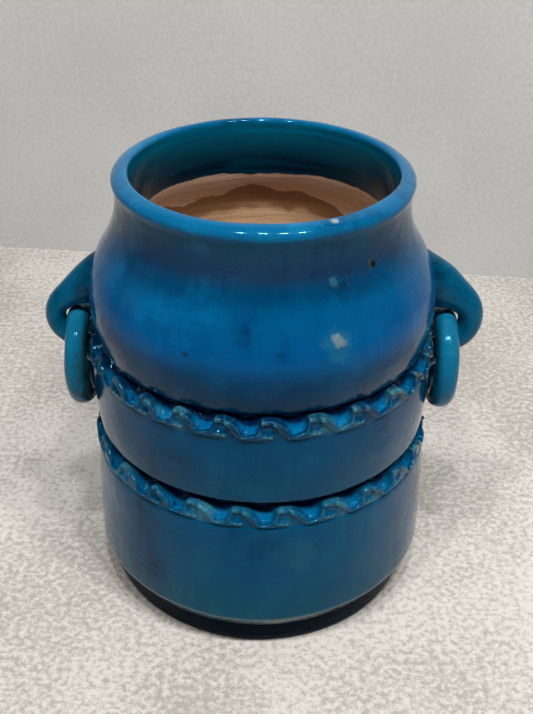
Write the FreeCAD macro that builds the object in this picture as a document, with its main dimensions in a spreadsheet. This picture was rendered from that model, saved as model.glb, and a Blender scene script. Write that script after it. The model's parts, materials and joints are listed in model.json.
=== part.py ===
"""A squat glazed jar with two ear handles, a loose ring in each handle and two crimped clay bands.

Frame: millimetres, +Z up, origin at the centre of the circle the foot stands on, +X through the right
handle, -Y to the front. Everything is turned about Z except the handles and rings.
"""
import FreeCAD, Part
import math
import os

import Sketcher

# name of the cell: (value in mm, degrees or a count, what it is)
DRIVING = {
    "foot_height": (12.0, "foot ring, from the table to the underside of the jar"),
    "foot_radius": (74.4, "outside of the foot ring"),
    "foot_inside": (62.0, "inside of the foot ring, at its top"),
    "foot_draft": (2.0, "how far the inside of the foot ring leans"),
    "foot_round": (1.2, "rounded outer corner where the foot meets the table"),
    "heel_radius": (77.4, "edge of the flat underside"),
    "heel_rise": (5.0, "height of the rounded heel above the foot"),
    "heel_round": (5.0, "curve of the heel"),
    "lower_radius": (79.4, "lower wall where the heel ends"),
    "belly_radius": (78.1, "lower wall at the ledge of the lower band"),
    "lower_wall_top": (71.0, "height of the ledge that carries the lower band"),
    "middle_edge": (86.0, "height of the edge that overhangs the lower band"),
    "middle_edge_radius": (77.0, "that edge's radius"),
    "middle_wall_top": (116.5, "height of the ledge that carries the upper band"),
    "middle_top_radius": (77.8, "middle wall at that ledge"),
    "upper_edge": (130.2, "height of the edge that overhangs the upper band"),
    "upper_edge_radius": (75.4, "that edge's radius"),
    "edge_round": (1.4, "rounding of both overhanging edges"),
    "wall_curve": (900.0, "very slight barrel of the lower wall"),
    "middle_curve": (320.0, "barrel of the middle wall"),
    "groove_radius": (72.0, "bottom of both grooves"),
    "ledge_rise": (2.0, "how much each ledge climbs towards the groove"),
    "overhang_drop": (1.2, "how much each overhang slopes down towards the groove"),
    "shoulder_radius": (76.5, "shoulder where it starts to turn in"),
    "shoulder_height": (157.5, "height of that point"),
    "shoulder_swell": (46.0, "curve of the wall below the shoulder"),
    "shoulder_turn": (35.0, "curve of the shoulder"),
    "neck_start_radius": (70.2, "where the shoulder passes into the neck"),
    "neck_start_height": (173.5, "height of that point"),
    "neck_hollow": (40.0, "hollow curve of the neck"),
    "neck_radius": (63.2, "neck where the hollow curve ends"),
    "neck_height": (191.0, "height of that point"),
    "jar_height": (205.5, "top of the lip"),
    "lip_radius": (64.5, "outside of the rolled lip"),
    "mouth_radius": (57.0, "straight inside of the neck"),
    "mouth_depth": (180.0, "height where the straight inside of the neck ends"),
    "inside_radius": (67.5, "inside of the wall"),
    "inside_shoulder": (158.0, "height where the inside wall starts to close in"),
    "inside_swell": (34.0, "curve of the inside of the shoulder"),
    "floor_thickness": (8.0, "clay under the jar's inside floor"),
    "floor_round": (9.0, "curve between floor and wall inside"),
    "upper_crimps": (26, "finger presses round the upper band"),
    "lower_crimps": (24, "finger presses round the lower band"),
    "band_height": (12.4, "ledge to crest at the groove"),
    "band_reach": (78.5, "outermost radius of both bands"),
    "band_skirt": (5.0, "height of the band's outer face"),
    "band_crest": (75.0, "radius of the crests"),
    "press_radius": (6.0, "radius of the fingertip that crimps the bands"),
    "press_depth": (5.6, "depth of each press below the crests"),
    "loop_x": (83.9, "centre of the handle's loop, from the jar's axis"),
    "loop_height": (131.8, "height of that centre"),
    "loop_radius": (11.0, "centre line of the handle round that centre"),
    "handle_thick": (4.9, "radius of the rolled clay where a handle bends"),
    "handle_root": (6.3, "radius of the rolled clay at the end inside the shoulder"),
    "upper_limb_slope": (45.0, "slope of the limb that climbs to the shoulder"),
    "lower_limb_slope": (36.0, "slope of the limb that drops to the wall"),
    "upper_limb_length": (34.0, "run of the upper limb, with what the shoulder hides"),
    "lower_limb_length": (26.0, "run of the lower limb, with what the wall hides"),
    "ring_radius": (19.4, "centre line of a ring"),
    "ring_thick": (5.4, "radius of the rolled clay of a ring"),
}
TOO_SMALL = 1e-6


class Size:
    """A length that knows its value and the spreadsheet expression that gives it."""

    def __init__(self, number, text):
        self.number = number
        self.text = text

    def __add__(self, other):
        return Size(self.number + other.number, f"({self.text} + {other.text})")

    def __sub__(self, other):
        return Size(self.number - other.number, f"({self.text} - {other.text})")

    def half(self):
        return Size(self.number / 2, f"({self.text} / 2)")


SIZES = {name: Size(float(value), "dims." + name) for name, (value, _) in DRIVING.items()}
ZERO = Size(0.0, "0")
doc = FreeCAD.newDocument("jar")


def size(name):
    return SIZES[name]


def write_sheet():
    """One row for each driving dimension: its name, its value under that alias, and its meaning."""
    sheet = doc.addObject("Spreadsheet::Sheet", "dims")
    for row, (name, (value, meaning)) in enumerate(DRIVING.items(), start=1):
        sheet.set(f"A{row}", name)
        sheet.set(f"B{row}", str(value))
        sheet.setAlias(f"B{row}", name)
        sheet.set(f"C{row}", meaning)
    doc.recompute()


def new_body(label):
    body = doc.addObject("PartDesign::Body", label)
    body.Label = label
    return body


def new_sketch(body, name, plane):
    """An empty sketch on one of the body's own origin planes."""
    sketch = body.newObject("Sketcher::SketchObject", name)
    sketch.AttachmentSupport = [(next(f for f in body.Origin.OriginFeatures if f.Role == plane), "")]
    sketch.MapMode = "FlatFace"
    return sketch


def constrain(sketch, kind, *where, length):
    """Adds a constraint of that kind and ties its value to the sheet."""
    index = sketch.addConstraint(Sketcher.Constraint(kind, *where, length.number))
    sketch.setExpression(f"Constraints[{index}]", length.text)


def place_corner(sketch, edge, end, r, z):
    """Holds one end of an edge at radius r and height z. A radius or height of zero lies on an axis."""
    for value, kind, axis in ((r, "DistanceX", -2), (z, "DistanceY", -1)):
        if abs(value.number) < TOO_SMALL:
            sketch.addConstraint(Sketcher.Constraint("PointOnObject", edge, end, axis))
        else:
            constrain(sketch, kind, -1, 1, edge, end, length=value)


def arc_between(start, end, radius, side):
    """The shorter arc of that radius from start to end, bulging left (1) or right (-1) of the way."""
    chord = end - start
    middle = (start + end) * 0.5
    left = FreeCAD.Vector(-chord.y, chord.x, 0).normalize()
    sag = radius - math.sqrt(radius**2 - (chord.Length / 2) ** 2)
    return Part.Arc(start, middle + left * side * sag, end)


def draw_outline(sketch, corners):
    """A closed outline of (r, z) corners, or (r, z, curve, side) where an arc leads up to the corner."""
    points = [FreeCAD.Vector(c[0].number, c[1].number, 0) for c in corners]
    for index, corner in enumerate(corners):
        start, end = points[index - 1], points[index]
        if len(corner) == 4:
            curve, side = corner[2:]
            sketch.addGeometry(arc_between(start, end, curve.number, side), False)
        else:
            sketch.addGeometry(Part.LineSegment(start, end), False)
    for index, corner in enumerate(corners):
        following = (index + 1) % len(corners)
        edge_end = end_of(sketch, index, points[index])
        next_start = end_of(sketch, following, points[index])
        sketch.addConstraint(Sketcher.Constraint("Coincident", index, edge_end, following, next_start))
        place_corner(sketch, index, edge_end, corner[0], corner[1])
        if len(corner) == 4:
            constrain(sketch, "Radius", index, length=corner[2])


def end_of(sketch, edge, point):
    """1 or 2: which end of the edge is at that point. Arcs run anticlockwise, so it isn't always the last."""
    return 1 if sketch.getPoint(edge, 1).distanceToPoint(point) < 1e-4 else 2


def turned(label, corners):
    """A body turned about Z from one closed outline."""
    body = new_body(label)
    sketch = new_sketch(body, label + "_outline", "XZ_Plane")
    draw_outline(sketch, corners)
    turning = body.newObject("PartDesign::Revolution", label + "_turning")
    turning.Profile = sketch
    turning.ReferenceAxis = (sketch, ["V_Axis"])
    turning.Angle = 360
    doc.recompute()
    return body


def wall_corners(top, edge, edge_radius):
    """The ledge, the groove and the overhanging edge above it, shared by both bands."""
    groove = size("groove_radius")
    edge_round = size("edge_round")
    return [
        (groove, top + size("ledge_rise")),
        (groove, edge - size("overhang_drop")),
        (edge_radius - edge_round, edge),
        (edge_radius, edge + edge_round, edge_round, -1),
    ]


def outer_form():
    """The jar before it is hollowed: heel, three walls, two grooves, shoulder, neck and lip."""
    heel = size("foot_height")
    lip = (size("lip_radius") - size("mouth_radius")).half()
    lip_centre = size("jar_height") - lip
    under_lip = Size(lip.number * math.sqrt(0.5), f"({lip.text} * sqrt(0.5))")
    corners = [
        (ZERO, heel),
        (size("heel_radius"), heel),
        (size("lower_radius"), heel + size("heel_rise"), size("heel_round"), -1),
        (size("belly_radius"), size("lower_wall_top"), size("wall_curve"), -1),
        *wall_corners(size("lower_wall_top"), size("middle_edge"), size("middle_edge_radius")),
        (size("middle_top_radius"), size("middle_wall_top"), size("middle_curve"), -1),
        *wall_corners(size("middle_wall_top"), size("upper_edge"), size("upper_edge_radius")),
        (size("shoulder_radius"), size("shoulder_height"), size("shoulder_swell"), -1),
        (size("neck_start_radius"), size("neck_start_height"), size("shoulder_turn"), -1),
        (size("neck_radius"), size("neck_height"), size("neck_hollow"), 1),
        (size("mouth_radius") + lip + under_lip, lip_centre - under_lip),
        (size("lip_radius"), lip_centre, lip, -1),
        (size("mouth_radius") + lip, size("jar_height"), lip, -1),
        (size("mouth_radius"), lip_centre, lip, -1),
        (ZERO, lip_centre),
    ]
    return turned("outer_form", corners)


def cavity_form():
    """What the thrower's hand leaves empty: straight neck, swelling shoulder, wall and rounded floor."""
    floor = size("foot_height") + size("floor_thickness")
    corners = [
        (ZERO, floor),
        (size("inside_radius") - size("floor_round"), floor),
        (size("inside_radius"), floor + size("floor_round"), size("floor_round"), -1),
        (size("inside_radius"), size("inside_shoulder")),
        (size("mouth_radius"), size("mouth_depth"), size("inside_swell"), -1),
        (size("mouth_radius"), size("jar_height")),
        (ZERO, size("jar_height")),
    ]
    return turned("cavity_form", corners)


def foot_ring():
    """A ring of clay luted under the jar, open in the middle."""
    top = size("foot_height")
    corners = [
        (size("foot_inside") + size("foot_draft"), ZERO),
        (size("foot_radius") - size("foot_round"), ZERO),
        (size("foot_radius"), size("foot_round"), size("foot_round"), -1),
        (size("foot_radius"), top),
        (size("foot_inside"), top),
    ]
    return turned("foot_ring", corners)


def crimped_band(label, ledge, wall_radius, crimps):
    """A strip of clay laid on a ledge and against the groove, its top edge pressed down with a fingertip."""
    groove = size("groove_radius")
    crest = ledge + size("band_height")
    reach = size("band_reach")
    corners = [
        (groove, ledge + size("ledge_rise")),
        (wall_radius, ledge),
        (reach, ledge + size("ledge_rise")),
        (reach, ledge + size("band_skirt")),
        (size("band_crest"), crest),
        (groove, crest - size("overhang_drop")),
    ]
    band = turned(label, corners)
    press_sketch = new_sketch(band, label + "_press_outline", "XZ_Plane")
    centre = crest - size("press_depth") + size("press_radius")
    press_sketch.addGeometry(Part.Circle(FreeCAD.Vector(0, centre.number, 0), FreeCAD.Vector(0, 0, 1),
                                         size("press_radius").number), False)
    place_corner(press_sketch, 0, 3, ZERO, centre)
    constrain(press_sketch, "Radius", 0, length=size("press_radius"))
    press = band.newObject("PartDesign::Pocket", label + "_press")
    press.Profile = press_sketch
    press.Type = "ThroughAll"
    before = band.Shape.Volume
    doc.recompute()
    if not press.Shape.Volume < before - 1:
        raise RuntimeError(f"{label}: the press cuts nothing")
    presses = band.newObject("PartDesign::PolarPattern", label + "_presses")
    presses.Originals = [press]
    presses.Axis = (press_sketch, ["V_Axis"])
    presses.Angle = 360
    presses.setExpression("Occurrences", crimps.text)
    band.Tip = presses
    doc.recompute()
    return band


def limb(label, turn, start_x, start_z, length):
    """A straight run of a handle's rolled clay, from its bend back to the jar, thicker at its root.

    The cone's own Z axis is turned about Y until it points along the run.
    """
    rod = doc.addObject("Part::Cone", label)
    rod.setExpression("Radius1", "dims.handle_thick")
    rod.setExpression("Radius2", "dims.handle_root")
    rod.setExpression("Height", length)
    rod.Placement = FreeCAD.Placement(FreeCAD.Vector(), FreeCAD.Rotation(FreeCAD.Vector(0, 1, 0), 1))
    rod.setExpression("Placement.Rotation.Angle", turn)
    rod.setExpression("Placement.Base.x", start_x)
    rod.setExpression("Placement.Base.z", start_z)
    return rod


def upper_limb():
    return limb("handle_upper_limb", "dims.upper_limb_slope - 90",
                "dims.loop_x + dims.loop_radius * sin(dims.upper_limb_slope * 1 deg)",
                "dims.loop_height + dims.loop_radius * cos(dims.upper_limb_slope * 1 deg)",
                "dims.upper_limb_length")


def lower_limb():
    return limb("handle_lower_limb", "-90 - dims.lower_limb_slope",
                "dims.loop_x + dims.loop_radius * sin(dims.lower_limb_slope * 1 deg)",
                "dims.loop_height - dims.loop_radius * cos(dims.lower_limb_slope * 1 deg)",
                "dims.lower_limb_length")


def handle_bend():
    """The outer turn of a handle: part of a torus on edge, from the lower limb round to the upper one."""
    bend = doc.addObject("Part::Torus", "handle_bend")
    bend.setExpression("Radius1", "dims.loop_radius")
    bend.setExpression("Radius2", "dims.handle_thick")
    bend.setExpression("Angle3", "180 - dims.upper_limb_slope - dims.lower_limb_slope")
    stand = FreeCAD.Rotation(FreeCAD.Vector(1, 0, 0), 90)
    to_lower_limb = FreeCAD.Rotation(FreeCAD.Vector(0, 1, 0), 90 - size("lower_limb_slope").number)
    bend.Placement = FreeCAD.Placement(FreeCAD.Vector(), to_lower_limb * stand)
    bend.setExpression("Placement.Base.x", "dims.loop_x")
    bend.setExpression("Placement.Base.z", "dims.loop_height")
    return bend


def fitted_to(piece, neighbour, label):
    """The piece with its end cut to the neighbour's own surface, so that the two meet face to face."""
    fitted = doc.addObject("Part::Cut", label)
    fitted.Base = piece
    fitted.Tool = neighbour
    doc.recompute()
    return fitted


def handle(outer, band):
    """The right ear handle: a bent roll of clay pressed on the shoulder, middle wall and upper band."""
    roll = doc.addObject("Part::MultiFuse", "handle_roll")
    roll.Shapes = [handle_bend(), upper_limb(), lower_limb()]
    return fitted_to(fitted_to(roll, outer, "handle_on_wall"), band, "handle_right")


def mirrored(original, label):
    """The same piece on the other side of the jar."""
    copy = doc.addObject("Part::Mirroring", label)
    copy.Source = original
    copy.Normal = (1, 0, 0)
    doc.recompute()
    return copy


def ring_right():
    """A loose ring of rolled clay. Its top runs through the middle of the handle's loop."""
    ring = doc.addObject("Part::Torus", "ring_right")
    ring.setExpression("Radius1", "dims.ring_radius")
    ring.setExpression("Radius2", "dims.ring_thick")
    ring.Placement = FreeCAD.Placement(FreeCAD.Vector(), FreeCAD.Rotation(FreeCAD.Vector(0, 1, 0), 90))
    ring.setExpression("Placement.Base.x", "dims.loop_x")
    ring.setExpression("Placement.Base.z", "dims.loop_height - dims.ring_radius")
    doc.recompute()
    return ring


def build():
    """Every separate piece, by the name of its file."""
    write_sheet()
    outer = outer_form()
    jar = doc.addObject("Part::Cut", "jar_body")
    jar.Base = outer
    jar.Tool = cavity_form()
    doc.recompute()
    upper_band = crimped_band("upper_crimped_band", size("middle_wall_top"), size("middle_top_radius"),
                              size("upper_crimps"))
    lower_band = crimped_band("lower_crimped_band", size("lower_wall_top"), size("belly_radius"),
                              size("lower_crimps"))
    right_handle = handle(outer, upper_band)
    right_ring = ring_right()
    return [jar, foot_ring(), upper_band, lower_band, right_handle, mirrored(right_handle, "handle_left"),
            right_ring, mirrored(right_ring, "ring_left")]


def check(pieces):
    """Stops before anything is written if an object failed or a piece is not one sound solid."""
    for item in doc.Objects:
        if {"Invalid", "Error"} & set(item.State):
            raise RuntimeError(f"{item.Name} failed: {item.State}")
    for piece in pieces:
        shape = piece.Shape
        if shape.isNull() or not shape.isValid() or len(shape.Solids) != 1:
            raise RuntimeError(f"{piece.Label} is not one valid solid")


pieces = build()
check(pieces)
os.makedirs("parts", exist_ok=True)
for piece in pieces:
    piece.Shape.exportStep(f"parts/{piece.Label}.step")
    box = piece.Shape.BoundBox
    print(f"{piece.Label}: {piece.Shape.Volume / 1000:.1f} cm3, x {box.XMin:.1f}..{box.XMax:.1f}, "
          f"y {box.YMin:.1f}..{box.YMax:.1f}, z {box.ZMin:.1f}..{box.ZMax:.1f}")
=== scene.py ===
import json
import math
import random

import bmesh
import bpy
from mathutils import Matrix, Vector


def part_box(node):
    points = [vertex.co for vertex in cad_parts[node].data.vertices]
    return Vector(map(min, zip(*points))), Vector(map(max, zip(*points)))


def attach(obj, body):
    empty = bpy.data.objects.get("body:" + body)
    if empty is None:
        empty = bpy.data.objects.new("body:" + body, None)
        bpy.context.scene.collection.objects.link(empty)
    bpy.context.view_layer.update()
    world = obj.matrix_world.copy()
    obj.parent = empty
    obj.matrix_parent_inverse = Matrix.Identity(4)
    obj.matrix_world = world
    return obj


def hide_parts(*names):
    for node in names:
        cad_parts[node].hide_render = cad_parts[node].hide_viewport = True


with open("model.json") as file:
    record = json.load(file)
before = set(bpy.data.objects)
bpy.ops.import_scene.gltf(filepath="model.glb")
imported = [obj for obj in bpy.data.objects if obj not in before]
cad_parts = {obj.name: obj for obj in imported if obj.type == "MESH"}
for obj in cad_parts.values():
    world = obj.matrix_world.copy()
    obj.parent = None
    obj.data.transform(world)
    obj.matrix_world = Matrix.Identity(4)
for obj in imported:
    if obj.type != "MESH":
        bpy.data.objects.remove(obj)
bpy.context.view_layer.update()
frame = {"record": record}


# ---------------------------------------------------------------------------------------------------
# The jar. One wall of buff clay thrown on the wheel: from the heel up the belly, in and out of the two
# grooves that take the crimped bands, over the shoulder and neck, round the rolled lip and down inside.
# It is raised here the same way, as one ring of clay after another, then left a little uneven.
# ---------------------------------------------------------------------------------------------------
MM = 0.001
jar_low, jar_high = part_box("jar_body")
lip_top = jar_high.z / MM
foot_top = jar_low.z / MM
floor_clay = 8.0

underside = [(34.0, foot_top), (60.0, foot_top), (74.0, foot_top)]
heel = [(75.6, 12.1), (76.8, 13.4), (78.4, 16.4), (79.9, 19.0), (80.4, 20.1), (80.5, 21.6), (80.4, 28.0)]
belly = [(80.2, 38.0), (79.9, 50.0), (79.4, 62.0), (79.0, 69.0), (78.8, 72.4)]
lower_groove = [(78.0, 74.0), (76.4, 74.7), (73.4, 75.0), (72.2, 76.2), (72.0, 82.5), (72.6, 84.4),
                (74.6, 85.0)]
middle_edge = [(76.0, 85.3), (76.8, 86.1), (77.1, 87.5)]
middle = [(77.5, 92.0), (78.1, 99.0), (78.3, 105.0), (78.3, 111.0), (78.2, 116.0), (78.15, 118.6)]
upper_groove = [(77.8, 120.1), (76.2, 120.8), (73.4, 121.1), (72.2, 122.2), (72.0, 127.0), (72.4, 129.0),
                (73.6, 129.9)]
upper_edge = [(74.5, 130.2), (75.2, 131.0), (75.5, 132.3)]
shoulder = [(76.2, 135.0), (77.1, 139.5), (77.6, 144.5), (77.6, 149.5), (77.2, 154.0), (76.3, 158.3),
            (75.0, 162.4), (73.3, 166.3), (71.2, 170.2)]
neck = [(68.9, 174.0), (66.8, 177.8), (65.2, 181.8), (64.0, 186.3), (63.3, 191.0), (63.2, 195.0),
        (63.4, 198.2)]
lip = [(63.8, 199.6), (64.3, 200.7), (64.5, 201.9), (64.0, 203.2), (62.7, 204.4), (60.9, 205.3),
       (59.2, lip_top + 0.2), (58.0, 205.5), (57.2, 204.6), (56.9, 203.0)]
neck_inside = [(56.8, 199.0), (57.0, 192.0), (57.1, 186.0), (57.5, 181.0), (58.9, 176.4), (61.3, 171.4),
               (64.2, 166.0), (66.5, 160.4), (67.5, 154.0)]
inside_radius = 67.5
throwing_ring_depth = 0.35
throwing_ring_spacing = 7.0
throwing_rings = [(inside_radius + throwing_ring_depth * (-1) ** ring, 148.0 - throwing_ring_spacing * ring)
                  for ring in range(17)]
inside_floor = [(67.2, 29.0), (65.4, 24.4), (61.5, 21.4), (56.0, 20.2), (40.0, foot_top + floor_clay),
                (14.0, 19.8)]
hand_unevenness = ((0.9, 46.0), (0.35, 17.0))


def throw_clay(name, profile, sides):
    """Raises a ring of clay through every (radius, height) in mm, and stays in edit mode."""
    bpy.ops.object.select_all(action="DESELECT")
    radius, height = profile[0]
    bpy.ops.mesh.primitive_circle_add(vertices=sides, radius=radius * MM, location=(0, 0, height * MM))
    clay = bpy.context.object
    clay.name = clay.data.name = name
    bpy.ops.object.mode_set(mode="EDIT")
    for wider, higher in profile[1:]:
        bpy.ops.mesh.extrude_region_move(TRANSFORM_OT_translate={"value": (0, 0, (higher - height) * MM)})
        grow = wider / radius
        bpy.ops.transform.resize(value=(grow, grow, 1), center_override=(0, 0, higher * MM))
        radius, height = wider, higher
    return clay


def close_centre(height):
    """Brings the open edge at that height in mm together on the wheel's centre."""
    clay = bpy.context.object
    edges = bmesh.from_edit_mesh(clay.data).edges
    for edge in edges:
        edge.select_set(False)
    for edge in edges:
        if edge.is_boundary and abs(edge.verts[0].co.z + clay.location.z - height * MM) < 0.3 * MM:
            edge.select_set(True)
    bmesh.update_edit_mesh(clay.data)
    bpy.ops.mesh.extrude_region_move(TRANSFORM_OT_translate={"value": (0, 0, 0)})
    bpy.ops.mesh.merge(type="CENTER")


def fire(clay, rounds, unevenness=()):
    """Smooths the clay, adds the hand's unevenness as (depth, spread) pairs in mm, and hardens it so."""
    bpy.ops.object.mode_set(mode="OBJECT")
    bpy.ops.object.transform_apply(location=True, rotation=True, scale=True)
    if rounds:
        smooth = clay.modifiers.new("smooth", "SUBSURF")
        smooth.levels = smooth.render_levels = rounds
        bpy.ops.object.modifier_apply(modifier=smooth.name)
    for depth, spread in unevenness:
        hand = bpy.data.textures.new("hand", "CLOUDS")
        hand.noise_scale = spread * MM
        hand.noise_depth = 1
        wobble = clay.modifiers.new("wobble", "DISPLACE")
        wobble.texture = hand
        wobble.texture_coords = "LOCAL"
        wobble.strength = depth * MM
        bpy.ops.object.modifier_apply(modifier=wobble.name)
    bpy.ops.object.shade_smooth()


def face_outwards():
    """Turns every face of the clay being edited outwards."""
    bpy.ops.mesh.select_all(action="SELECT")
    bpy.ops.mesh.normals_make_consistent(inside=False)


outside = (underside + heel + belly + lower_groove + middle_edge + middle + upper_groove + upper_edge
           + shoulder + neck + lip)
jar = throw_clay("jar", outside + neck_inside + throwing_rings + inside_floor, sides=64)
close_centre(inside_floor[-1][1])
close_centre(foot_top)
face_outwards()
fire(jar, rounds=2, unevenness=hand_unevenness)
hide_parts("jar_body")
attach(jar, "jar")


def node(tree, kind, inputs=(), **settings):
    """A node with its settings, and with each input set to a value or joined to another node's output."""
    made = tree.nodes.new(kind)
    for setting, value in settings.items():
        setattr(made, setting, value)
    for socket, value in dict(inputs).items():
        if isinstance(value, bpy.types.NodeSocket):
            tree.links.new(value, made.inputs[socket])
        else:
            made.inputs[socket].default_value = value
    return made


def maths(tree, operation, first, second=0.5, third=0.5):
    values = {0: first, 1: second, 2: third}
    return node(tree, "ShaderNodeMath", values, operation=operation).outputs[0]


def fade(tree, value, low, high, to_low=0.0, to_high=1.0):
    """Follows a value smoothly from to_low, where it is low, to to_high, where it is high."""
    ends = {"Value": value, "From Min": low, "From Max": high, "To Min": to_low, "To Max": to_high}
    return node(tree, "ShaderNodeMapRange", ends, interpolation_type="SMOOTHSTEP").outputs[0]


def tint(tree, amount, first, second):
    """The first colour where the amount is 0 and the second where it is 1."""
    return node(tree, "ShaderNodeMix", {0: amount, 6: first, 7: second}, data_type="RGBA").outputs[2]


def blend(tree, amount, first, second):
    """The first value where the amount is 0 and the second where it is 1."""
    return node(tree, "ShaderNodeMix", {0: amount, 2: first, 3: second}).outputs[0]


def rgb(red, green, blue):
    return (red, green, blue, 1.0)


def stretched(tree, place, across, up):
    """The place on the piece, with its grain finer across or up."""
    return node(tree, "ShaderNodeMapping", {"Vector": place, "Scale": (across, across, up)}).outputs[0]


def cloud(tree, place, scale, detail=3.0, roughness=0.5):
    settings = {"Vector": place, "Scale": scale, "Detail": detail, "Roughness": roughness}
    return node(tree, "ShaderNodeTexNoise", settings).outputs[0]


def height_of(tree, place):
    return node(tree, "ShaderNodeSeparateXYZ", {0: place}).outputs[2]


def from_axis(tree, place):
    """How far a place is from the wheel's centre."""
    flat = node(tree, "ShaderNodeVectorMath", {0: place, 1: (1, 1, 0)}, operation="MULTIPLY").outputs[0]
    return node(tree, "ShaderNodeVectorMath", {0: flat}, operation="LENGTH").outputs["Value"]


def mark(tree, place, spot, reach, ragged=0.7):
    """1 at a spot given in mm, fading to 0 at its reach, with a ragged outline."""
    away = node(tree, "ShaderNodeVectorMath", {0: place, 1: tuple(side * MM for side in spot)},
                operation="DISTANCE").outputs["Value"]
    noise = maths(tree, "SUBTRACT", cloud(tree, place, 1.1 / (reach * MM), 3.0, 0.6), 0.5)
    away = maths(tree, "MULTIPLY_ADD", noise, 2.6 * ragged * reach * MM, away)
    return fade(tree, away, reach * MM, 0.45 * reach * MM)


def new_group(name, inputs, outputs):
    """An empty shader group with (name, kind, value) sockets going in and (name, kind) sockets out."""
    group = bpy.data.node_groups.new(name, "ShaderNodeTree")
    for socket, kind, value in inputs:
        made = group.interface.new_socket(name=socket, in_out="INPUT", socket_type=kind)
        if value is not None:
            made.default_value = value
    for socket, kind in outputs:
        group.interface.new_socket(name=socket, in_out="OUTPUT", socket_type=kind)
    return group, group.nodes.new("NodeGroupInput").outputs, group.nodes.new("NodeGroupOutput")


# The glaze, as every piece wears it: runs and pools of colour, thin on edges and thick in hollows, with a
# fine crackle, bubbles and a few pinholes. Its Pooled_and_Shaded input darkens it towards its
# Thick_and_Shaded
# colour: glaze pooling, and on the jar, bands, handles and rings also painted shade in grooves, crooks and on
# the rings' shaded side.
glaze, given, result = new_group(
    "turquoise_glaze",
    [("Place", "NodeSocketVector", None), ("Edge", "NodeSocketFloat", 0.5), ("Pooled_and_Shaded", "NodeSocketFloat", 0.0),
     ("Thin", "NodeSocketColor", None), ("Body", "NodeSocketColor", None), ("Thick_and_Shaded", "NodeSocketColor", None)],
    [("Color", "NodeSocketColor"), ("Roughness", "NodeSocketFloat"), ("Height", "NodeSocketFloat")])
place = given["Place"]
runs = cloud(glaze, stretched(glaze, place, 1.0, 0.16), 95.0, 5.0, 0.6)
hairs = cloud(glaze, stretched(glaze, place, 1.0, 0.07), 420.0, 3.0, 0.6)
drift = cloud(glaze, place, 26.0, 5.0, 0.6)
turning = cloud(glaze, stretched(glaze, place, 0.06, 1.0), 420.0, 4.0, 0.6)
bubbles = cloud(glaze, place, 1500.0, 2.0, 0.6)
edges = fade(glaze, given["Edge"], 0.505, 0.56)
hollows = fade(glaze, given["Edge"], 0.495, 0.44)
# depth gathers the pooling and painted shade given in, the pooling in hollows, and the random runs and drifts
depth = maths(glaze, "ADD", given["Pooled_and_Shaded"], maths(glaze, "MULTIPLY", hollows, 0.8))
for grain, weight in ((runs, 1.2), (hairs, 0.35), (drift, 2.6), (turning, 0.5)):
    depth = maths(glaze, "MULTIPLY_ADD", maths(glaze, "SUBTRACT", grain, 0.5), weight, depth)
colour = tint(glaze, fade(glaze, depth, 0.0, 1.0), given["Body"], given["Thick_and_Shaded"])
colour = tint(glaze, fade(glaze, depth, -0.02, -0.7, 0.0, 0.7), colour, given["Thin"])
colour = tint(glaze, maths(glaze, "MULTIPLY", edges, 0.85), colour, given["Thin"])
colour = tint(glaze, fade(glaze, bubbles, 0.62, 0.8, 0.0, 0.18), colour, given["Thin"])
shake = node(glaze, "ShaderNodeTexNoise", {"Vector": place, "Scale": 60.0}).outputs[1]
shaken = node(glaze, "ShaderNodeMix", {0: 0.012, 4: place, 5: shake}, data_type="VECTOR").outputs[1]
cells = node(glaze, "ShaderNodeTexVoronoi", {"Vector": stretched(glaze, shaken, 0.75, 1.3), "Scale": 105.0},
             feature="DISTANCE_TO_EDGE").outputs[0]
patches = fade(glaze, cloud(glaze, place, 30.0, 2.0), 0.42, 0.6)
lines = maths(glaze, "MULTIPLY", fade(glaze, cells, 0.022, 0.003), patches)
colour = tint(glaze, maths(glaze, "MULTIPLY", lines, 0.22), colour, given["Thin"])
pits = node(glaze, "ShaderNodeTexVoronoi", {"Vector": place, "Scale": 120.0})
rare = fade(glaze, node(glaze, "ShaderNodeSeparateColor", {0: pits.outputs[1]}).outputs[0], 0.93, 0.95)
pit = maths(glaze, "MULTIPLY", fade(glaze, pits.outputs[0], 0.10, 0.04), rare)
colour = tint(glaze, maths(glaze, "MULTIPLY", pit, 0.7), colour, rgb(0.02, 0.03, 0.04))
specks = node(glaze, "ShaderNodeTexVoronoi", {"Vector": stretched(glaze, place, 1.0, 0.8), "Scale": 105.0})
few = fade(glaze, node(glaze, "ShaderNodeSeparateColor", {0: specks.outputs[1]}).outputs[1], 0.95, 0.97)
speck = maths(glaze, "MULTIPLY", fade(glaze, specks.outputs[0], 0.13, 0.05), few)
colour = tint(glaze, maths(glaze, "MULTIPLY", speck, 0.3), colour, rgb(0.25, 0.38, 0.38))
roughness = maths(glaze, "MULTIPLY_ADD", pit, 0.4, maths(glaze, "MULTIPLY_ADD", drift, 0.08, 0.03))
height = maths(glaze, "MULTIPLY", cloud(glaze, place, 160.0, 2.0), 0.6)
for grain, weight in ((pit, -1.0), (lines, -0.06), (turning, 0.30), (drift, 1.0), (bubbles, 0.05)):
    height = maths(glaze, "MULTIPLY_ADD", grain, weight, height)
glaze.links.new(colour, result.inputs["Color"])
glaze.links.new(roughness, result.inputs["Roughness"])
glaze.links.new(height, result.inputs["Height"])


bump_depth = 0.8
reflected_blue = rgb(0.22, 0.70, 1.0)


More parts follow.
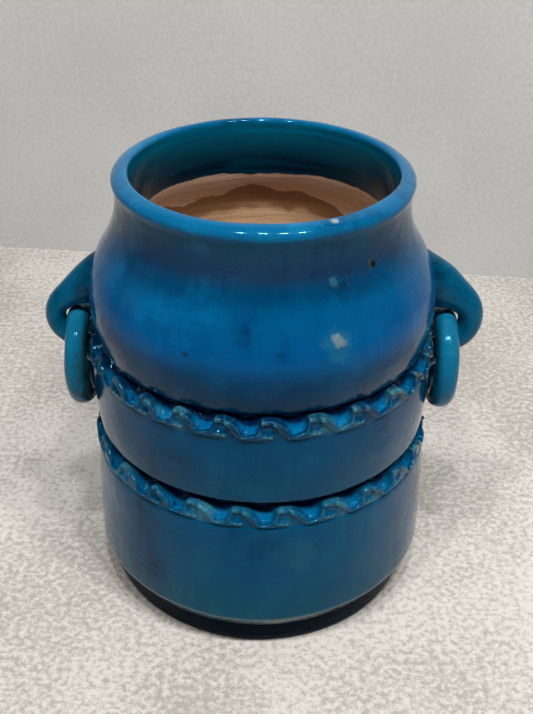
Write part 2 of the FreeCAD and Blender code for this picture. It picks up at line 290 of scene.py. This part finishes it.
def glazed(name, thin, body, deep, pooling_and_shade, finish=None, shine=0.28):
    """A glaze with its own colours. pooling_and_shade works out where it stands thick or is painted with
    shade, and finish alters what it gives.
    """
    look = bpy.data.materials.new(name)
    look.use_nodes = True
    tree = look.node_tree
    face = tree.nodes["Principled BSDF"]
    face.inputs["Specular IOR Level"].default_value = shine
    face.inputs["Specular Tint"].default_value = reflected_blue
    place = node(tree, "ShaderNodeTexCoord").outputs["Object"]
    edge = node(tree, "ShaderNodeNewGeometry").outputs["Pointiness"]
    coat = node(tree, "ShaderNodeGroup", node_tree=glaze)
    for socket, value in (("Thin", thin), ("Body", body), ("Thick_and_Shaded", deep)):
        if isinstance(value, tuple):
            coat.inputs[socket].default_value = value
        else:
            tree.links.new(value(tree, place), coat.inputs[socket])
    tree.links.new(place, coat.inputs["Place"])
    tree.links.new(edge, coat.inputs["Edge"])
    tree.links.new(pooling_and_shade(tree, place), coat.inputs["Pooled_and_Shaded"])
    colour, roughness, height = coat.outputs
    if finish:
        colour, roughness, height = finish(tree, place, colour, roughness, height)
    tree.links.new(colour, face.inputs["Base Color"])
    tree.links.new(roughness, face.inputs["Roughness"])
    bump = node(tree, "ShaderNodeBump", {"Strength": 0.4, "Distance": bump_depth * MM, "Height": height})
    tree.links.new(bump.outputs[0], face.inputs["Normal"])
    return look


def by_height(tree, place, stops):
    """Colours that follow the jar's height, from (height in mm, colour) stops."""
    ramp = node(tree, "ShaderNodeValToRGB", {0: maths(tree, "DIVIDE", height_of(tree, place), lip_top * MM)})
    band = ramp.color_ramp
    band.interpolation = "EASE"
    while len(band.elements) < len(stops):
        band.elements.new(0.5)
    for element, (level, colour) in zip(band.elements, stops):
        element.position = level / lip_top
        element.color = colour
    return ramp.outputs[0]


def jar_glaze_body(tree, place):
    # From 12 to 19 mm the heel's underside is darker: painted shade under the heel. The pale stop at 20.1 mm
    # is a painted highlight along the heel's edge.
    return by_height(tree, place, [
        (12, rgb(0.000, 0.022, 0.034)), (19.2, rgb(0.000, 0.036, 0.052)), (20.1, rgb(0.060, 0.160, 0.190)),
        (21.0, rgb(0.000, 0.062, 0.120)), (45, rgb(0.000, 0.062, 0.150)), (70, rgb(0.000, 0.062, 0.155)),
        (88, rgb(0.000, 0.055, 0.135)), (114, rgb(0.000, 0.052, 0.140)), (130, rgb(0.000, 0.022, 0.070)),
        (143, rgb(0.000, 0.032, 0.100)), (156, rgb(0.000, 0.078, 0.245)), (170, rgb(0.000, 0.078, 0.215)),
        (179, rgb(0.000, 0.046, 0.125)), (187, rgb(0.010, 0.034, 0.085)), (197, rgb(0.010, 0.044, 0.090)),
        (202, rgb(0.002, 0.105, 0.250))])


def jar_glaze_thin(tree, place):
    return by_height(tree, place, [
        (12, rgb(0.01, 0.09, 0.13)), (60, rgb(0.0, 0.10, 0.19)), (110, rgb(0.0, 0.09, 0.19)),
        (140, rgb(0.0, 0.07, 0.18)), (160, rgb(0.0, 0.14, 0.38)), (175, rgb(0.0, 0.12, 0.30)),
        (190, rgb(0.01, 0.06, 0.14)), (203, rgb(0.01, 0.20, 0.36))])


def jar_pooling_and_groove_shade(tree, place):
    """Darkens the two grooves: glaze pooling there, and painted shade in the recess under each overhang."""
    level = height_of(tree, place)
    below_shoulder = fade(tree, level, 131.5 * MM, 130.0 * MM)
    low_part = maths(tree, "MULTIPLY", below_shoulder, fade(tree, level, 70 * MM, 72 * MM))
    sunk = fade(tree, from_axis(tree, place), 76.0 * MM, 74.4 * MM, 0.0, 2.0)
    return maths(tree, "MULTIPLY", sunk, low_part)


# The marks of the kiln, as (place, reach, strength, colour): a pit, two burst bubbles, a blister and its
# halo, a speck, a chip on each side of the lip, three specks low down and a pale cloud of thin glaze.
specked = rgb(0.30, 0.40, 0.34)
stains = (((42.8, -48.1, 184.7), 2.2, 0.97, rgb(0.004, 0.006, 0.008)),
          ((27.5, -59.2, 181.8), 2.6, 0.35, rgb(0.05, 0.20, 0.28)),
          ((31.2, -57.9, 180.3), 2.0, 0.60, rgb(0.0, 0.02, 0.06)),
          ((29.7, -69.4, 160.2), 8.0, 0.35, rgb(0.02, 0.15, 0.22)),
          ((29.5, -69.3, 161.5), 3.8, 0.50, rgb(0.26, 0.32, 0.28)),
          ((-29.8, -70.8, 155.5), 1.5, 0.80, rgb(0.01, 0.015, 0.02)),
          ((26.9, -54.1, 205.1), 1.9, 0.80, rgb(0.30, 0.33, 0.33)),
          ((-35.5, 50.2, 204.8), 2.1, 0.85, rgb(0.05, 0.035, 0.03)),
          ((36.1, -69.4, 66.8), 1.0, 0.50, specked),
          ((38.8, -68.3, 58.1), 0.9, 0.60, specked),
          ((34.4, -70.6, 61.5), 0.7, 0.50, specked),
          ((16.6, -76.8, 57.0), 12.0, 0.16, rgb(0.03, 0.17, 0.22)))
# Where those marks stand up from the glaze or sink into it, as (place, reach, rise).
swellings = (((42.8, -48.1, 184.7), 2.4, -2.5), ((27.5, -59.2, 181.8), 3.0, 2.2),
             ((31.2, -57.9, 180.3), 2.4, 1.6), ((29.7, -69.4, 160.7), 4.6, 1.2),
             ((26.9, -54.1, 205.1), 2.0, -1.5))


def jar_finish(tree, place, colour, roughness, height):
    """Inside, the glaze stops in a drip line below the neck; above that line it is lighter near the lip and
    darker further down, painted light and shade.
    Under it comes a band of slip, paler with a painted sheen, then a darker brown band, then the plain clay.
    Outside there are the marks of the kiln. The lip's glaze is smooth."""
    level = height_of(tree, place)
    inside = maths(tree, "LESS_THAN", from_axis(tree, place),
                   fade(tree, level, 158 * MM, 181 * MM, 70.0 * MM, 60.2 * MM))
    ragged = maths(tree, "SUBTRACT", cloud(tree, stretched(tree, place, 1.0, 0.25), 34.0, 3.0), 0.5)
    drip = maths(tree, "MULTIPLY_ADD", ragged, 9 * MM, level)
    bare = maths(tree, "MULTIPLY", inside, fade(tree, drip, 179 * MM, 178.2 * MM))
    turned = cloud(tree, stretched(tree, place, 0.1, 1.0), 260.0, 4.0, 0.6)
    grit = cloud(tree, place, 900.0, 4.0, 0.7)
    clay = tint(tree, turned, rgb(0.68, 0.45, 0.27), rgb(0.50, 0.31, 0.175))
    clay = tint(tree, fade(tree, grit, 0.35, 0.75, 0.0, 0.6), clay, rgb(0.70, 0.52, 0.36))
    run_down = maths(tree, "MULTIPLY_ADD", ragged, -34 * MM, level)
    # A darker brown band above the plain clay, up to the slip.
    clay = tint(tree, fade(tree, run_down, 153 * MM, 157 * MM, 0.0, 0.85), clay, rgb(0.300, 0.150, 0.070))
    # The slip band is paler: the slip's own colour with a painted sheen.
    slip = fade(tree, run_down, 166.0 * MM, 166.7 * MM)
    clay = tint(tree, slip, clay, rgb(0.740, 0.550, 0.430))
    # Inside the neck the glaze is lighter just under the lip and darker further down: painted light and
    # shade, with the throwing rings' tone.
    throat_colour_and_shade = tint(tree, fade(tree, level, 201 * MM, 184 * MM), rgb(0.0, 0.090, 0.155), rgb(0.0, 0.008, 0.018))
    throat_colour_and_shade = tint(tree, fade(tree, turned, 0.4, 0.62, 0.0, 0.5), throat_colour_and_shade, rgb(0.0, 0.042, 0.085))
    in_throat = maths(tree, "MULTIPLY", fade(tree, from_axis(tree, place), 58.4 * MM, 57.6 * MM),
                      fade(tree, level, 204.6 * MM, 203.4 * MM))
    colour = tint(tree, maths(tree, "MULTIPLY", in_throat, 0.9), colour, throat_colour_and_shade)
    for spot, reach, mix, stain in stains:
        colour = tint(tree, maths(tree, "MULTIPLY", mark(tree, place, spot, reach), mix), colour, stain)
    for spot, reach, rise in swellings:
        height = maths(tree, "MULTIPLY_ADD", mark(tree, place, spot, reach, 0.3), rise, height)
    height = maths(tree, "MULTIPLY", height, fade(tree, level, 199 * MM, 202 * MM, 1.0, 0.1))
    colour = tint(tree, bare, colour, clay)
    under = fade(tree, level, 12.3 * MM, 12.05 * MM)
    colour = tint(tree, under, colour, rgb(0.25, 0.15, 0.085))
    dry = maths(tree, "MAXIMUM", bare, under)
    rough = maths(tree, "MULTIPLY_ADD", slip, -0.24, fade(tree, grit, 0.3, 0.7, 0.38, 0.60))
    roughness = blend(tree, dry, roughness, rough)
    ridges = maths(tree, "MULTIPLY_ADD", turned, 1.6, maths(tree, "MULTIPLY", grit, 0.25))
    return colour, roughness, blend(tree, dry, height, ridges)


# Navy for thick glaze, and for the painted shade in the grooves and behind the band lips.
pooled_and_shaded_navy = rgb(0.0, 0.008, 0.045)
jar.data.materials.append(glazed("jar_glaze", jar_glaze_thin, jar_glaze_body, pooled_and_shaded_navy, jar_pooling_and_groove_shade,
                                 finish=jar_finish))


# ---------------------------------------------------------------------------------------------------
# The foot ring. A ring of the same clay under the jar, narrower than the belly, so the glaze ran over
# the heel and stopped on it in a thick dark line, darkened further with painted shade from the heel's
# overhang.
# Its standing edge is wiped bare.
# ---------------------------------------------------------------------------------------------------
foot_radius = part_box("foot_ring")[1].x / MM
foot = throw_clay("foot", [(62.3, foot_top), (62.9, 8.0), (63.6, 1.6), (64.4, 0.3), (66.0, 0.0), (72.2, 0.0),
                           (foot_radius - 0.7, 0.35), (foot_radius, 1.7), (foot_radius + 0.1, 6.0),
                           (foot_radius, 11.0), (foot_radius - 0.2, foot_top + 0.3)], sides=64)
bpy.ops.mesh.select_all(action="DESELECT")
bpy.ops.mesh.select_non_manifold()
bpy.ops.mesh.bridge_edge_loops()
face_outwards()
fire(foot, rounds=2)
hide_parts("foot_ring")
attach(foot, "jar")


def foot_darker_low(tree, place):
    """Darker lower down, towards the floor."""
    return fade(tree, height_of(tree, place), 14 * MM, 9 * MM, 0.5, 1.4)


def foot_finish(tree, place, colour, roughness, height):
    """The glaze ends in an uneven line just above the table; the clay below it is dark and dry."""
    ragged = maths(tree, "SUBTRACT", cloud(tree, place, 60.0, 4.0), 0.5)
    edge = maths(tree, "MULTIPLY_ADD", ragged, 5 * MM, height_of(tree, place))
    bare = fade(tree, edge, 1.2 * MM, 0.5 * MM)
    colour = tint(tree, bare, colour, rgb(0.035, 0.03, 0.03))
    colour = tint(tree, mark(tree, place, (-36.0, -65.0, 9.5), 5.0), colour, rgb(0.0, 0.0, 0.001))
    return colour, blend(tree, bare, roughness, 0.7), height


# Very dark colours: the foot's dark glaze, with the painted shade under the heel in them.
foot.data.materials.append(glazed("foot_glaze", rgb(0.002, 0.030, 0.050), rgb(0.0, 0.014, 0.030),
                                  rgb(0.0005, 0.005, 0.012), foot_darker_low, foot_finish, shine=0.05))


# ---------------------------------------------------------------------------------------------------
# The two crimped bands. Each is a strip of clay laid in its groove and crimped by pressing a fingertip
# down on its top edge, again and again, so that the clay stands up in humps between the presses and
# squeezes out in a thin lip below each one. The strip is pressed here while straight, then bent round.
# ---------------------------------------------------------------------------------------------------
band_height = 8.4
band_depth = 6.0
band_tuck = 4.5
edge_round = 1.4
lower_ledge, upper_ledge = 74.3, 120.4


def pick(clay, wanted):
    """Selects only the points of the clay whose place (along, in, up) in mm is wanted."""
    points = bmesh.from_edit_mesh(clay.data)
    for point in points.verts:
        point.select_set(wanted(*(point.co / MM)))
    points.select_flush(True)
    bmesh.update_edit_mesh(clay.data)


def push(along, out, up, reach):
    """Moves the picked points by so many mm, and draws the clay within reach after them."""
    bpy.ops.transform.translate(value=(along * MM, -out * MM, up * MM), use_proportional_edit=True,
                                proportional_edit_falloff="SMOOTH", proportional_size=reach * MM)


def squeeze(keep, reach, falloff="SMOOTH"):
    """Flattens the picked clay to keep times its height above the ledge, and less and less within reach."""
    bpy.ops.transform.resize(value=(1, 1, keep), center_override=(0, 0, 0), use_proportional_edit=True,
                             proportional_edit_falloff=falloff, proportional_size=reach * MM)


def lay_strip(name, length):
    """A straight strip of clay: its front stands up, and its rounded top lies back in the groove."""
    bpy.ops.object.select_all(action="DESELECT")
    bpy.ops.mesh.primitive_grid_add(x_subdivisions=720, y_subdivisions=30, size=1)
    strip = bpy.context.object
    strip.name = strip.data.name = name
    bpy.ops.object.mode_set(mode="EDIT")
    sheet = band_tuck + band_height + band_depth
    bpy.ops.transform.resize(value=(length * MM, sheet * MM, 1))
    bpy.ops.transform.rotate(value=math.radians(-90), orient_axis="X", center_override=(0, 0, 0))
    bpy.ops.transform.translate(value=(0, 0, (sheet / 2 - band_tuck) * MM))
    turn_in, turn_up = 0.0, band_height - edge_round
    for heading in (30, 60, 90):
        pick(strip, lambda along, inward, up: up > turn_up + 0.01 or inward > turn_in + 0.01)
        bpy.ops.transform.rotate(value=math.radians(30), orient_axis="X",
                                 center_override=(0, turn_in * MM, turn_up * MM))
        turn_in += math.sin(math.radians(heading))
        turn_up += math.cos(math.radians(heading))
    pick(strip, lambda along, inward, up: up < 0.6 - band_tuck)
    push(0, -1.6, 0, reach=3.2)
    return strip


def press(strip, middle, deep, chance):
    """One press of the fingertip at that place along the strip, rolled a little to the right."""
    def at(start, end, low, high, near, far):
        """Picks the points between those places along from the press, at those heights and depths."""
        pick(strip, lambda along, inward, up: start < along - middle < end
             and low < up < high and near < inward < far)

    def driven(along, inward, up):
        """The clay driven forward: a ridge down the hump on the left, a lip, and a tail to the right."""
        past = along - middle
        foot_line = max(0.6, 6.8 - 0.9 * max(0, past + 8.6))
        top_line = 1.9 - 0.3 * max(0, past - 7.6) + 8 * max(0, 1 - (past - 3.2) / 2.6)
        return -9.0 < past < 12.0 and inward < 1.6 and foot_line < up < top_line

    pick(strip, driven)
    push(0, 1.1, 0, reach=1.4)
    # down, easily on the left and steeply on the right, and less at the back than at the front
    at(-2.4, 0.4, 0, 20, -9, 2.4)
    squeeze(1 - 0.62 * deep, reach=8.6, falloff="SHARP")
    at(-1.8, 3.4, 0, 20, -9, 2.6)
    squeeze(1 - 0.62 * deep, reach=2.9)
    # the hump on its right: its face is drawn in, and its near corner is left standing in a round knob
    at(6.2, 9.6, 3.2, 5.4, -9, 0.6)
    push(0, -0.8, 0, reach=2.4)
    at(6.2, 7.6, 6.4, 20, 0.4, 2.4)
    push(-0.6 - 0.4 * chance.random(), 0.5, 0.2, reach=2.2)


def crimped_band(name, wall, ledge, front_crests, presses, seed):
    """A strip pressed between its crests and bent round. The front crests are in degrees from the front."""
    chance = random.Random(seed)
    length = 2 * math.pi * wall
    strip = lay_strip(name, length)
    unseen = presses - len(front_crests)
    gap = (front_crests[0] + 360 - front_crests[-1]) / (unseen + 1)
    crests = list(front_crests)
    for step in range(unseen):
        crests.append(front_crests[-1] + gap * (step + 1) + chance.uniform(-1.2, 1.2))
    for crest, following in zip(crests, crests[1:] + [crests[0] + 360]):
        middle = (crest + following) / 2
        around = (middle + 180) % 360 - 180
        press(strip, around / 360 * length, chance.uniform(0.94, 1.06), chance)
    bpy.ops.mesh.select_all(action="SELECT")
    bpy.ops.transform.translate(value=(0, 0, ledge * MM))
    bpy.ops.object.mode_set(mode="OBJECT")
    bend = strip.modifiers.new("bend", "SIMPLE_DEFORM")
    bend.deform_method = "BEND"
    bend.deform_axis = "Z"
    bend.angle = math.radians(360)
    bpy.ops.object.modifier_apply(modifier=bend.name)
    bpy.ops.object.mode_set(mode="EDIT")
    bpy.ops.mesh.select_all(action="SELECT")
    bpy.ops.transform.translate(value=(0, -wall * MM, 0))
    bpy.ops.mesh.remove_doubles(threshold=0.25 * MM)
    face_outwards()
    fire(strip, rounds=1, unevenness=hand_unevenness)
    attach(strip, "jar")
    return strip


def band_pooling_and_groove_shade(tree, place):
    """Darker behind the lips, the further it is from the jar's face: glaze pooling, and painted shade in the
    groove behind the band.
    """
    return fade(tree, from_axis(tree, place), 75.0 * MM, 72.8 * MM, 0.0, 1.6)


def band_glaze_body(tree, place):
    """The jar's own colour on the face, and a bright blue where the fingertip pressed the clay hollow: thick
    glaze there, brightened with painted light where those hollow tops face the lamps.
    """
    rise = maths(tree, "SUBTRACT", height_of(tree, place), (lower_ledge - 10) * MM)
    above = maths(tree, "SUBTRACT", maths(tree, "MODULO", rise, (upper_ledge - lower_ledge) * MM), 10 * MM)
    scooped_and_lit = maths(tree, "MULTIPLY", fade(tree, from_axis(tree, place), 77.6 * MM, 76.6 * MM),
                    fade(tree, above, 6.5 * MM, 3.5 * MM))
    return tint(tree, scooped_and_lit, jar_glaze_body(tree, place), rgb(0.0, 0.125, 0.31))


band_glaze = glazed("band_glaze", rgb(0.07, 0.27, 0.34), band_glaze_body, pooled_and_shaded_navy, band_pooling_and_groove_shade)
upper_crests = (-51, -38, -25, -11, 3, 18, 32, 48, 60)
upper_band = crimped_band("upper_band", 77.9, upper_ledge, upper_crests, 26, seed=3)
upper_band.data.materials.append(band_glaze)
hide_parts("upper_crimped_band")
lower_crests = (-67, -48, -35, -21, -5, 8, 25, 38, 53)
lower_band = crimped_band("lower_band", 78.1, lower_ledge, lower_crests, 24, seed=8)
lower_band.data.materials.append(band_glaze)
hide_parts("lower_crimped_band")


# ---------------------------------------------------------------------------------------------------
# The handles. Each is a roll of clay bent into an ear: its upper end is smeared flat on the shoulder,
# its lower end is pressed on the wall over the upper band, and the ring hangs in the loop between.
# ---------------------------------------------------------------------------------------------------
joints = frame["record"]["behaviour"]["joints"]
pivots = {joint["child"]: Vector(joint["pos_m"]) / MM for joint in joints}
loop = pivots["right_ring"]


def roll_clay(name, stations, side):
    """A roll through (x, z, lean, thick, wide) stations: its middle, which way its thickness leans, and half
    its thickness and width. Side is 1 on the right and -1 on the left."""
    bpy.ops.object.select_all(action="DESELECT")
    x, z, lean, thick, wide = stations[0]
    bpy.ops.mesh.primitive_circle_add(vertices=20, radius=MM, fill_type="NGON",
                                      location=(side * x * MM, 0, z * MM))
    clay = bpy.context.object
    clay.name = clay.data.name = name
    bpy.ops.object.mode_set(mode="EDIT")
    bpy.ops.transform.resize(value=(thick, wide, 1), center_override=clay.location)
    bpy.ops.transform.rotate(value=math.radians(lean) * side, orient_axis="Y", center_override=clay.location)
    for next_x, next_z, next_lean, next_thick, next_wide in stations[1:]:
        bpy.ops.mesh.extrude_region_move(
            TRANSFORM_OT_translate={"value": (side * (next_x - x) * MM, 0, (next_z - z) * MM)})
        middle = (side * next_x * MM, 0, next_z * MM)
        grow = (next_thick / thick, next_wide / wide, 1)
        back = -math.radians(lean) * side
        onward = math.radians(next_lean) * side
        bpy.ops.transform.rotate(value=back, orient_axis="Y", center_override=middle)
        bpy.ops.transform.resize(value=grow, center_override=middle)
        bpy.ops.transform.rotate(value=onward, orient_axis="Y", center_override=middle)
        x, z, lean, thick, wide = next_x, next_z, next_lean, next_thick, next_wide
    return clay


def ear_stations(out, thick, turn_radius, turn_half):
    """The roll's stations, from inside the shoulder, out round the loop, and back into the wall. Out is how
    far the middle of the upper limb stands from the pivot, and thick is half its thickness. The next two say
    the same of the lower half of the loop."""
    lean = math.radians(47)
    knee_x = loop.x + out * math.cos(lean)
    knee_z = loop.z + out * math.sin(lean)
    smeared = [(70.5, knee_z + 20.0, 113, 12.5, 10.0), (knee_x - 18.6, knee_z + 16.0, 104, 11.2, 9.0),
               (knee_x - 15.2, knee_z + 11.2, 84, 11.2, 8.4),
               (knee_x - 12.4, knee_z + 8.3, 66, thick + 4.4, 7.8),
               (knee_x - 9.1, knee_z + 5.6, 54, thick + 3.1, 7.0),
               (knee_x - 4.5, knee_z + 3.3, 48, thick + 0.9, 6.3)]
    bend = [(knee_x, knee_z, 46, thick, 6.7)]
    for turn, share in ((28, 0.62), (10, 0.34), (-8, 0.16), (-26, 0.06), (-40, 0.0), (-54, 0.0)):
        angle = math.radians(turn)
        radius = turn_radius + (out - turn_radius) * share
        half = turn_half + (thick - turn_half) * share
        wide = 5.6 + 1.0 * min(1.0, max(0.0, (turn + 30) / 30))
        bend.append((loop.x + radius * math.cos(angle), loop.z + radius * math.sin(angle), turn, half, wide))
    pressed = [(86.3, 119.9, -54, 4.95, 5.8), (82.6, 117.2, -60, 5.4, 6.2), (79.6, 115.0, -76, 6.6, 7.0),
               (76.6, 113.0, -88, 8.6, 8.2), (73.0, 111.0, -94, 10.0, 9.0)]
    return smeared + bend + pressed


def handle_pooling_and_crook_shade(tree, place):
    """Darker the nearer it is to the crook where the handle meets the wall: glaze pooling, and painted shade
    in the crook.
    """
    return fade(tree, from_axis(tree, place), 90 * MM, 76 * MM, 0.05, 0.6)


handle_glaze = glazed("handle_glaze", rgb(0.01, 0.15, 0.22), rgb(0.0, 0.085, 0.175),
                      rgb(0.0, 0.018, 0.050), handle_pooling_and_crook_shade)
for name, node_name, side, sizes in (("left_handle", "handle_left", -1, (11.3, 5.35, 10.6, 4.7)),
                                     ("right_handle", "handle_right", 1, (12.8, 6.75, 11.5, 5.55))):
    handle = roll_clay(name, ear_stations(*sizes), side)
    face_outwards()
    fire(handle, rounds=2)
    handle.data.materials.append(handle_glaze)
    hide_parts(node_name)
    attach(handle, "jar")


# ---------------------------------------------------------------------------------------------------
# The loose rings. Each is a roll of clay closed through its handle's loop before firing, with the join
# smoothed over, and it hangs free. It was glazed with the jar, so it has the same runs and pools, and it is
# darkened with painted shade on the side facing the jar and at the bottom.
# ---------------------------------------------------------------------------------------------------
ring_low, ring_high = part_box("ring_right")
ring_roll = (ring_high.x - ring_low.x) / 2 / MM
ring_radius = (ring_high.z - ring_low.z) / 2 / MM - ring_roll


def ring_shade_jar_side_and_below(tree, place):
    """Painted shade: the ring darker on the side that faces the jar and towards the bottom, and not on its
    outside.
    """
    away = node(tree, "ShaderNodeSeparateXYZ", {0: place})
    out = maths(tree, "ABSOLUTE", away.outputs[0])
    side = fade(tree, out, (loop.x - 2.6) * MM, (loop.x - 5.2) * MM, 0.0, 0.8)
    low = fade(tree, away.outputs[2], 108 * MM, 88 * MM, 0.0, 0.4)
    return maths(tree, "ADD", side, low)


# The darkest colour is the olive of the painted shade on the jar side.
ring_glaze = glazed("ring_glaze", rgb(0.04, 0.24, 0.34), rgb(0.0, 0.115, 0.24),
                    rgb(0.006, 0.032, 0.040), ring_shade_jar_side_and_below)
for body, node_name, join in (("left_ring", "ring_left", 140), ("right_ring", "ring_right", -30)):
    pivot = pivots[body]
    bpy.ops.object.select_all(action="DESELECT")
    middle = Vector((pivot.x, 0, pivot.z - ring_radius)) * MM
    bpy.ops.mesh.primitive_torus_add(major_radius=ring_radius * MM, minor_radius=ring_roll * MM,
                                     major_segments=64, minor_segments=20, location=middle,
                                     rotation=(0, math.radians(90), 0))
    ring = bpy.context.object
    ring.name = ring.data.name = body
    bpy.ops.object.transform_apply(location=True, rotation=True, scale=True)
    bpy.ops.object.mode_set(mode="EDIT")
    join = math.radians(join)
    seam = middle + Vector((0, math.cos(join), math.sin(join))) * ring_radius * MM
    pick(ring, lambda x, y, z: (Vector((x, y, z)) * MM - seam).length < 6.0 * MM)
    bpy.ops.transform.resize(value=(0.94, 0.985, 0.985), center_override=seam, use_proportional_edit=True,
                             proportional_edit_falloff="SMOOTH", proportional_size=9 * MM)
    outward = 1 if pivot.x > 0 else -1
    pick(ring, lambda x, y, z: z < pivot.z - 1.3 * ring_radius
         and outward * (x - pivot.x) < -0.5 * ring_roll)
    bpy.ops.transform.translate(value=(-outward * 0.7 * MM, 0, 0), use_proportional_edit=True,
                                proportional_edit_falloff="SMOOTH", proportional_size=ring_roll * MM)
    fire(ring, rounds=1, unevenness=((0.35, 14.0),))
    ring.data.materials.append(ring_glaze)
    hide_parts(node_name)
    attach(ring, body)


# ---------------------------------------------------------------------------------------------------
# The setting: a plain pale floor with a wall close behind, small lamps overhead and soft light around.
# ---------------------------------------------------------------------------------------------------
def plain(name, light, dark, roughness):
    """A plain speckled surface, which can be seen through from behind."""
    look = bpy.data.materials.new(name)
    look.use_nodes = True
    tree = look.node_tree
    place = node(tree, "ShaderNodeTexCoord").outputs["Object"]
    grain = cloud(tree, place, 330.0, 6.0, 0.7)
    drift = cloud(tree, place, 9.0, 4.0)
    mixed = maths(tree, "MULTIPLY_ADD", drift, 0.35, maths(tree, "MULTIPLY", grain, 0.65))
    face = tree.nodes["Principled BSDF"]
    tree.links.new(tint(tree, fade(tree, mixed, 0.41, 0.58), dark, light), face.inputs["Base Color"])
    face.inputs["Roughness"].default_value = roughness
    behind = node(tree, "ShaderNodeNewGeometry").outputs["Backfacing"]
    tree.links.new(maths(tree, "SUBTRACT", 1.0, behind), face.inputs["Alpha"])
    return look


bpy.ops.object.select_all(action="DESELECT")
room_size = 14
wall_distance = 0.3137
wall_turn = math.radians(-6.1)
bpy.ops.mesh.primitive_plane_add(size=room_size, location=(0, 0, 0))
floor = bpy.context.object
floor.name = "floor"
floor.data.materials.append(plain("pale_floor", rgb(0.68, 0.66, 0.63), rgb(0.40, 0.38, 0.355), 0.6))
bpy.ops.mesh.primitive_plane_add(size=room_size, location=(0, wall_distance, 0),
                                 rotation=(math.radians(90), 0, wall_turn))
wall = bpy.context.object
wall.name = "wall"
wall.data.materials.append(plain("pale_wall", rgb(0.60, 0.61, 0.61), rgb(0.53, 0.54, 0.54), 0.5))

room = bpy.data.worlds.new("room")
bpy.context.scene.world = room
room.use_nodes = True
sky = room.node_tree
heading = node(sky, "ShaderNodeTexCoord").outputs["Generated"]
way_up = height_of(sky, heading)
sky.nodes["Background"].inputs["Color"].default_value = (0.95, 0.97, 1.0, 1)
sky.links.new(fade(sky, way_up, 0.0, 0.7, 0.29, 0.05), sky.nodes["Background"].inputs["Strength"])

for x in (-0.27, 0.0, 0.22, 0.42):
    bpy.ops.object.light_add(type="AREA", location=(x, -0.42, 1.2))
    lamp = bpy.context.object
    lamp.data.size = 0.075
    lamp.data.energy = 4.6
    lamp.data.color = (1.0, 0.97, 0.93)
    lamp.rotation_euler = (Vector((0, 0, 0.1)) - lamp.location).to_track_quat("-Z", "Y").to_euler()

camera = bpy.data.objects.new("camera", bpy.data.cameras.new("camera"))
bpy.context.scene.collection.objects.link(camera)
camera.data.lens = 50.4
camera.data.sensor_width = 36
camera.location = (-0.0003, -0.3976, 0.3628)
to_right = Vector((0.99992, 0.00141, 0.01223))
ahead = Vector((0.00538, 0.84384, -0.53656))
camera.rotation_euler = Matrix((to_right, to_right.cross(ahead), -ahead)).transposed().to_euler()
bpy.context.scene.camera = camera
bpy.context.scene.view_settings.view_transform = "Standard"
